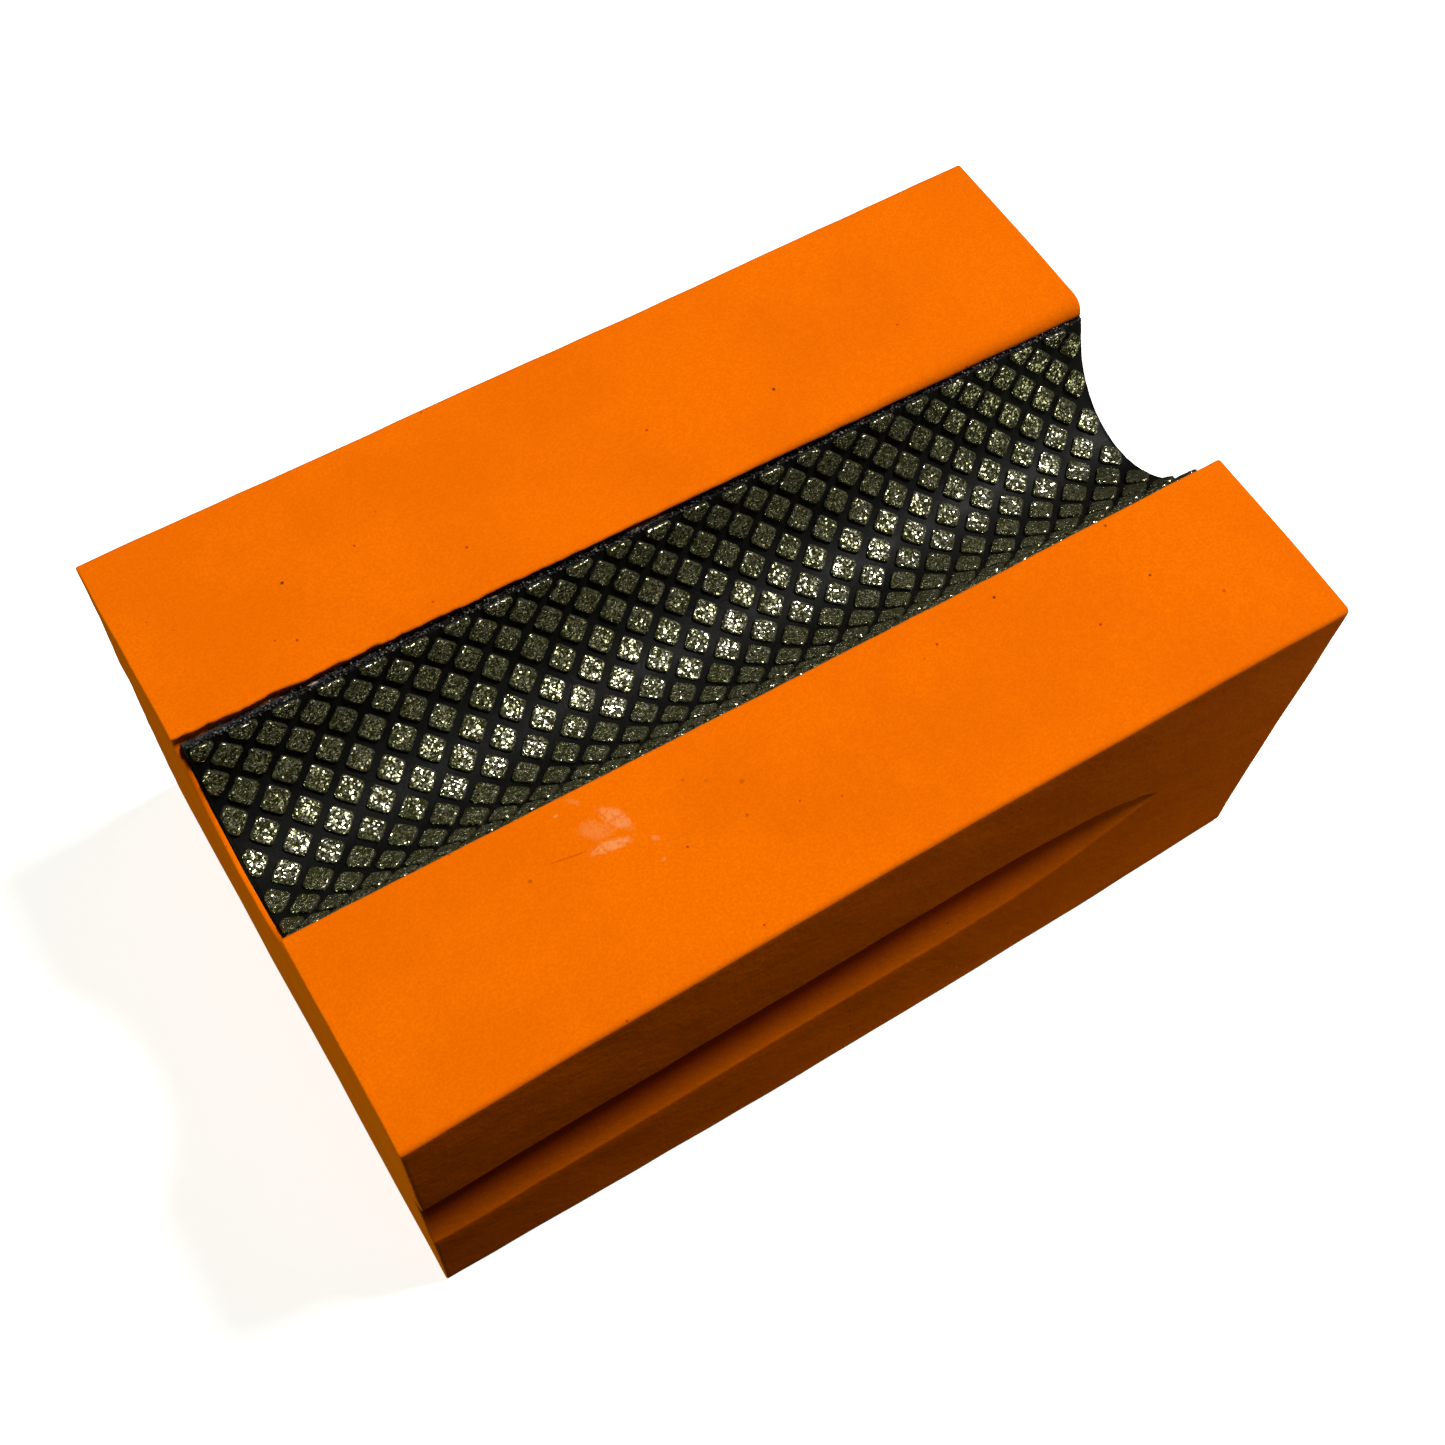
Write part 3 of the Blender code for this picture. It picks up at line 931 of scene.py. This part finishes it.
def cut_convex(outline, nx, ny, limit):
    """Keep the part of a convex outline where nx * x + ny * y is at most limit."""
    kept = []
    for here, there in zip(outline, outline[1:] + outline[:1]):
        a = nx * here[0] + ny * here[1] - limit
        b = nx * there[0] + ny * there[1] - limit
        if a <= 0:
            kept.append(here)
        if (a < 0 < b) or (b < 0 < a):
            t = a / (a - b)
            kept.append((here[0] + (there[0] - here[0]) * t, here[1] + (there[1] - here[1]) * t))
    return kept


ARC_STEPS = 5


def rounded_outline(core, radius, count):
    """Evenly spaced points round a convex core grown by a radius."""
    # close points all round, with a small arc at every corner of the core
    dense = []
    size = len(core)
    for i in range(size):
        before = core[i - 1]
        here = core[i]
        after = core[(i + 1) % size]
        start = math.atan2(before[0] - here[0], here[1] - before[1])
        turn = math.atan2(here[0] - after[0], after[1] - here[1]) - start
        turn = (turn + math.pi) % (2 * math.pi) - math.pi
        for step in range(ARC_STEPS + 1):
            angle = start + turn * step / ARC_STEPS
            dense.append((here[0] + radius * math.cos(angle), here[1] + radius * math.sin(angle)))
    # then count of them at equal distances along the outline
    lengths = [0.0]
    for here, there in zip(dense, dense[1:] + dense[:1]):
        lengths.append(lengths[-1] + math.dist(here, there))
    points = []
    index = 0
    for i in range(count):
        goal = lengths[-1] * i / count
        while lengths[index + 1] < goal:
            index += 1
        t = (goal - lengths[index]) / max(lengths[index + 1] - lengths[index], 1e-9)
        here = dense[index % len(dense)]
        there = dense[(index + 1) % len(dense)]
        points.append((here[0] + (there[0] - here[0]) * t, here[1] + (there[1] - here[1]) * t))
    return points


DOT_SIDES = 24
DOT_CREST = 0.36
# rings of a dot: share of the outline's size, and height above the carrier
DOT_RINGS = [(1.03, -0.06), (1.0, 0.23), (0.955, 0.33), (0.80, 0.35), (0.56, 0.355), (0.30, DOT_CREST)]
# rings higher than this are rough with grit
GRIT_FROM = 0.3
GRAIN_HEIGHT = 0.022
GRAIN_SHIFT = 0.02
# dots that the sheet's edge cuts smaller than this, along or across, are left out
LEAST_DOT_LENGTH = 0.8
LEAST_DOT_WIDTH = 0.55
BEYOND_DOT = 2


def dot_core(along, across, turn, half):
    """The dot's square, cut straight at the sheet's border, with room left for its round corners."""
    corner = min(DOT_CORNER, 0.45 * half)
    reach = half - corner
    outline = []
    for side_x, side_y in ((-1, -1), (1, -1), (1, 1), (-1, 1)):
        outline.append((along + side_x * BEYOND_DOT, across + side_y * BEYOND_DOT))
    for quarter in range(4):
        angle = turn + math.pi / 4 + quarter * math.pi / 2
        nx = math.cos(angle)
        ny = math.sin(angle)
        outline = cut_convex(outline, nx, ny, nx * along + ny * across + reach)
    border = DOT_BORDER + corner
    outline = cut_convex(outline, -1, 0, -border)
    outline = cut_convex(outline, 1, 0, SHEET_LENGTH - border)
    outline = cut_convex(outline, 0, -1, -border)
    outline = cut_convex(outline, 0, 1, SHEET_WIDTH - border)
    return outline, corner


def build_dots(material):
    """Each diamond dot is its own small island with a softened rim and a grainy top."""
    draw = random.Random(20)
    bm = bmesh.new()
    rows = int(SHEET_WIDTH / DOT_ROW_STEP) + 2
    columns = int(SHEET_LENGTH / DOT_PITCH) + 2
    for row in range(rows):
        for column in range(-1, columns):
            along = FIRST_DOT + DOT_PITCH * column + DOT_ROW_STEP * (row % 2) + draw.uniform(-0.03, 0.03)
            across = FIRST_ROW + DOT_ROW_STEP * row + draw.uniform(-0.03, 0.03)
            half = DOT_SIDE / 2 * draw.uniform(0.97, 1.02)
            turn = math.radians(draw.uniform(-1.6, 1.6))
            core, corner = dot_core(along, across, turn, half)
            if len(core) < 3:
                continue
            xs = [p[0] for p in core]
            ys = [p[1] for p in core]
            length = max(xs) - min(xs) + 2 * corner
            width = max(ys) - min(ys) + 2 * corner
            if length < LEAST_DOT_LENGTH or width < LEAST_DOT_WIDTH:
                continue
            middle = (sum(xs) / len(xs), sum(ys) / len(ys))
            outline = rounded_outline(core, corner, DOT_SIDES)
            add_dot(bm, outline, middle, draw)
    return make_object("diamond_dot_relief", bm, material)


def add_dot(bm, outline, middle, draw):
    """One dot, built up from its foot to its crest and tilted a little at random."""
    tilt_x = draw.uniform(-0.012, 0.012)
    tilt_y = draw.uniform(-0.012, 0.012)
    lift = draw.uniform(-0.015, 0.015)
    rings = []
    for share, height in DOT_RINGS:
        ring = []
        for x, y in outline:
            off_x = (x - middle[0]) * share
            off_y = (y - middle[1]) * share
            up = height
            if height > 0:
                up += lift + tilt_x * off_x + tilt_y * off_y
            if height > GRIT_FROM:
                up += draw.uniform(-GRAIN_HEIGHT, GRAIN_HEIGHT)
                off_x += draw.uniform(-GRAIN_SHIFT, GRAIN_SHIFT)
                off_y += draw.uniform(-GRAIN_SHIFT, GRAIN_SHIFT)
            ring.append(bm.verts.new(sheet_point(middle[0] + off_x, middle[1] + off_y, CARRIER_DEPTH - up)))
        rings.append(ring)
    for first, second in zip(rings, rings[1:]):
        for i in range(DOT_SIDES):
            j = (i + 1) % DOT_SIDES
            bm.faces.new((first[i], first[j], second[j], second[i]))
    crest = bm.verts.new(sheet_point(middle[0], middle[1], CARRIER_DEPTH - DOT_CREST - lift))
    for i in range(DOT_SIDES):
        bm.faces.new((rings[-1][i], rings[-1][(i + 1) % DOT_SIDES], crest))
    bm.faces.new(rings[0])


FIBRE_STEPS = 4
FIBRE_SIDES = 3
FIBRE_TAPER = 0.6


def add_fibre(bm, start, direction, length, curl, thickness):
    """A short curled hair with three sides, tapering to its tip."""
    side = direction.orthogonal().normalized()
    other = direction.cross(side).normalized()
    place = start.copy()
    heading = direction.normalized()
    rings = []
    for step in range(FIBRE_STEPS + 1):
        width = thickness * (1.0 - FIBRE_TAPER * step / FIBRE_STEPS)
        ring = []
        for corner in range(FIBRE_SIDES):
            angle = 2 * math.pi * corner / FIBRE_SIDES
            off_side = side * (width * math.cos(angle))
            off_other = other * (width * math.sin(angle))
            ring.append(bm.verts.new(place + off_side + off_other))
        rings.append(ring)
        heading = (heading + curl).normalized()
        place = place + heading * (length / FIBRE_STEPS)
    for first, second in zip(rings, rings[1:]):
        for i in range(FIBRE_SIDES):
            j = (i + 1) % FIBRE_SIDES
            bm.faces.new((first[i], first[j], second[j], second[i]))
    bm.faces.new(rings[0])
    bm.faces.new(rings[-1])


def add_tuft(bm, centre, size, draw):
    """A clotted end of fleece: a small lump, squashed at random."""
    made = bmesh.ops.create_icosphere(bm, subdivisions=1, radius=1.0)
    scale = [size * draw.uniform(0.6, 1.3) for _ in range(3)]
    for vert in made["verts"]:
        vert.co = Vector([c * k * draw.uniform(0.75, 1.15) for c, k in zip(vert.co, scale)]) + centre


FIBRES_PER_MM = 33
TUFTS_PER_MM = 13


def build_fibres(material):
    """Loose hairs of the fleece along its cut edges, and clotted tufts along its back edge."""
    draw = random.Random(7)
    bm = bmesh.new()
    # each edge is (which, its length, its share of the full number of hairs)
    edges = [
        ("back", SHEET_LENGTH, 1.0),
        ("front", SHEET_LENGTH, 0.35),
        ("left", SHEET_WIDTH, 1.0),
        ("right", SHEET_WIDTH, 0.7),
    ]
    for where, run, share in edges:
        for _ in range(int(run * FIBRES_PER_MM * share)):
            t = draw.uniform(0, run)
            share_down = draw.uniform(0.0, 1.0)
            depth = FLEECE_DEPTH - 0.10 + (FLEECE_OUTER - FLEECE_DEPTH + 0.05) * share_down
            inboard = draw.uniform(-0.02, 0.12)
            if where == "back":
                start = sheet_point(t, inboard, depth)
                outward = sheet_point(t, inboard - 1, depth) - start
            elif where == "front":
                start = sheet_point(t, SHEET_WIDTH - inboard, depth)
                outward = sheet_point(t, SHEET_WIDTH - inboard + 1, depth) - start
            elif where == "left":
                start = sheet_point(inboard, t, depth)
                outward = Vector((-1, 0, 0))
            else:
                start = sheet_point(SHEET_LENGTH - inboard, t, depth)
                outward = Vector((1, 0, 0))
            inward = Vector((0, CHANNEL_Y - start.y, HEIGHT - start.z)).normalized()
            wander = Vector([draw.gauss(0, 0.55) for _ in range(3)])
            direction = outward.normalized() + wander + inward * draw.uniform(-0.1, 0.5)
            curl = Vector([draw.gauss(0, 0.35) for _ in range(3)])
            length = draw.uniform(0.18, 0.55)
            if where in ("left", "right"):
                length *= 0.6
            add_fibre(bm, start, direction, length, curl, draw.uniform(0.010, 0.022))
    for _ in range(int(SHEET_LENGTH * TUFTS_PER_MM)):
        along = draw.uniform(0.2, SHEET_LENGTH - 0.2)
        # near the left end the foam's torn wall shows, so fewer tufts reach past the sheet's edge
        furthest_out = -0.65 + 0.4 * smooth(8, 3, along)
        across = draw.triangular(furthest_out, 0.30, -0.10)
        depth = CARRIER_DEPTH + draw.uniform(-0.12, 0.10) + 0.5 * max(0.0, -across)
        add_tuft(bm, sheet_point(along, across, depth), draw.uniform(0.05, 0.12), draw)
    return make_object("fleece_fibres", bm, material)


def add_bead(bm, centre, size, seed):
    """A small uneven drop of dried glue."""
    made = bmesh.ops.create_icosphere(bm, subdivisions=3, radius=1.0)
    for vert in made["verts"]:
        p = vert.co.copy()
        swell = 1 + 0.35 * noise.noise(p * 1.4 + Vector((seed, 0, 0)))
        vert.co = Vector((p.x * size[0], p.y * size[1], p.z * size[2])) * swell + Vector(centre)


# Beads of glue on the back rim: (x, half length, half thickness)
GLUE_BEADS = [
    (-2.6, 0.8, 0.28),
    (-1.4, 1.1, 0.22),
    (-0.2, 0.7, 0.20),
    (-16.5, 0.5, 0.14),
    (21.0, 0.5, 0.14),
    (33.5, 0.6, 0.15),
    (-33.0, 0.5, 0.12),
]


def build_glue(material):
    """The glue layer behind the fleece, with the little that squeezed out along the back rim."""
    glue = sheet_layer("glue_film", FLEECE_OUTER - 0.02, GLUE_OUTER, 120, 40, 0.35, 0.25, material)
    # the layer is already in metres, and the beads are added to it in millimetres
    bm = bmesh.new()
    bm.from_mesh(glue.data)
    bmesh.ops.scale(bm, vec=(1 / MM, 1 / MM, 1 / MM), verts=bm.verts[:])
    for seed, (x, long, thick) in enumerate(GLUE_BEADS):
        rim = sheet_point(x - SHEET_MID_X + SHEET_LENGTH / 2, -0.05, CARRIER_DEPTH + 0.35)
        add_bead(bm, rim, (long, 0.9 * thick, 0.7 * thick), seed)
    bmesh.ops.scale(bm, vec=(MM, MM, MM), verts=bm.verts[:])
    bm.to_mesh(glue.data)
    bm.free()
    glue.data.shade_smooth()
    return glue


# ---------------- stage, light, camera

FLOOR_RADIUS = 4000.0


def build_stage(material):
    """A wide round floor, which neither lights the block nor shows in its reflections."""
    bm = bmesh.new()
    bmesh.ops.create_circle(bm, cap_ends=True, segments=96, radius=FLOOR_RADIUS)
    floor = make_object("floor", bm, material, smooth_shading=False)
    floor.visible_diffuse = False
    floor.visible_glossy = False


def add_area(name, location, target, size, power, color):
    """A round area light aimed at a target, with places and sizes in metres and power in watts."""
    data = bpy.data.lights.new(name, "AREA")
    data.shape = "DISK"
    data.size = size
    data.energy = power
    data.color = color
    lamp = bpy.data.objects.new(name, data)
    lamp.location = location
    direction = Vector(target) - Vector(location)
    lamp.rotation_euler = direction.to_track_quat("-Z", "Y").to_euler()
    bpy.context.scene.collection.objects.link(lamp)


LIGHT_AIM = (0, 0, 0.03)
KEY_DIRECTION = (0.48, -0.058, 0.875)
KEY_DISTANCE = 1.60
KEY_SIZE = 0.42
KEY_POWER = 27.6


def build_lights():
    """A key light from the right and above, three weak fills, and a pale surround for the camera only."""
    key_place = Vector(LIGHT_AIM) + Vector(KEY_DIRECTION).normalized() * KEY_DISTANCE
    add_area("key", key_place, LIGHT_AIM, KEY_SIZE, KEY_POWER, (1.0, 0.985, 0.95))
    add_area("front_fill", (0.12, -0.09, 0.03), (0.0, -0.03, 0.02), 0.05, 0.023, (0.95, 1.0, 0.70))
    add_area("left_fill", (-0.55, 0.01, 0.08), LIGHT_AIM, 0.12, 1.05, (0.75, 1.0, 0.55))
    add_area("back_fill", (-0.1, 0.8, 0.35), LIGHT_AIM, 0.5, 0.9, (0.95, 1.0, 0.9))
    world = bpy.data.worlds.new("pale_surround")
    world.use_nodes = True
    back = world.node_tree.nodes["Background"]
    back.inputs["Color"].default_value = (0.95, 0.95, 0.945, 1.0)
    back.inputs["Strength"].default_value = 1.0
    world.cycles_visibility.diffuse = False
    world.cycles_visibility.glossy = False
    bpy.context.scene.world = world


CAMERA_PLACE = (-49.907, -67.995, 178.860)
CAMERA_RIGHT = (0.84742365, -0.52878488, 0.04753634)
CAMERA_DOWN = (-0.45062545, -0.76372067, -0.46224176)
CAMERA_AHEAD = (0.28073094, 0.37029351, -0.88547888)
LENS = 47.797


def build_camera():
    """The camera looks down along the channel, from above the front left corner."""
    data = bpy.data.cameras.new("camera")
    data.sensor_width = 36.0
    data.lens = LENS
    data.clip_start = 0.01
    camera = bpy.data.objects.new("camera", data)
    turn = Matrix((Vector(CAMERA_RIGHT), -Vector(CAMERA_DOWN), -Vector(CAMERA_AHEAD))).transposed().to_4x4()
    camera.matrix_world = Matrix.Translation(Vector(CAMERA_PLACE) * MM) @ turn
    bpy.context.scene.collection.objects.link(camera)
    bpy.context.scene.camera = camera


# ---------------- assembly

build_camera()
build_lights()
build_stage(floor_material())

foam = build_foam(foam_material())
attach(foam, "root")
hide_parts("foam_block")

glue = build_glue(glue_material())
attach(glue, "root")
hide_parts("adhesive_film")

fibres = build_fibres(fibre_material())
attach(fibres, "root")

fleece = sheet_layer("fleece_cloth", FLEECE_DEPTH - 0.02, FLEECE_OUTER, 180, 60, 0.0, 0.12,
                     fleece_material())
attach(fleece, "root")
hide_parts("fleece_backing")

carrier = sheet_layer("carrier_skin", CARRIER_DEPTH, FLEECE_DEPTH, 224, 75, 0.03, 0.05,
                      carrier_material(), 0.015)
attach(carrier, "root")
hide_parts("carrier_sheet")

dots = build_dots(diamond_material())
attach(dots, "root")
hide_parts("diamond_dots")

scene = bpy.context.scene
scene.view_settings.view_transform = "Standard"
scene.view_settings.look = "None"
